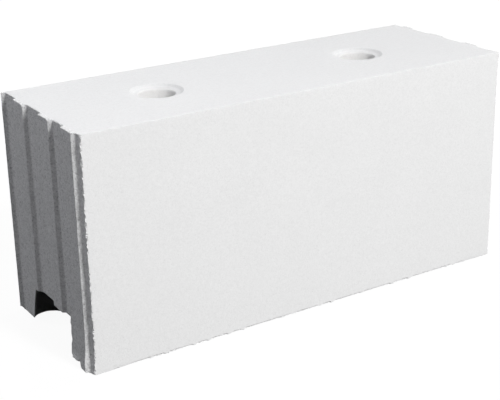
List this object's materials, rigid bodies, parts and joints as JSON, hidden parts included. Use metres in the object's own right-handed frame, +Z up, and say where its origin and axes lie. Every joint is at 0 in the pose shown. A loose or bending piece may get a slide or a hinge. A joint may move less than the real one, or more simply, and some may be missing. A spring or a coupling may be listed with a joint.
{
  "type": "calcium silicate block",
  "caption": "Large calcium silicate building block with tongue and groove ends, round grip holes in its top face and a grip pocket at the foot of each end.",
  "frame": {"origin": "middle of the underside, halfway between the outermost tongues of the two ends", "axes": "+X along the length, +Y from the front face to the rear face, +Z up, towards the face with the grip holes"},
  "size_m": [0.506, 0.175, 0.238],
  "materials": {
    "calcium_silicate": "matt, fine sandy face, off-white"
  },
  "bodies": {
    "root": {"block": "calcium_silicate"}
  },
  "joints": []
}
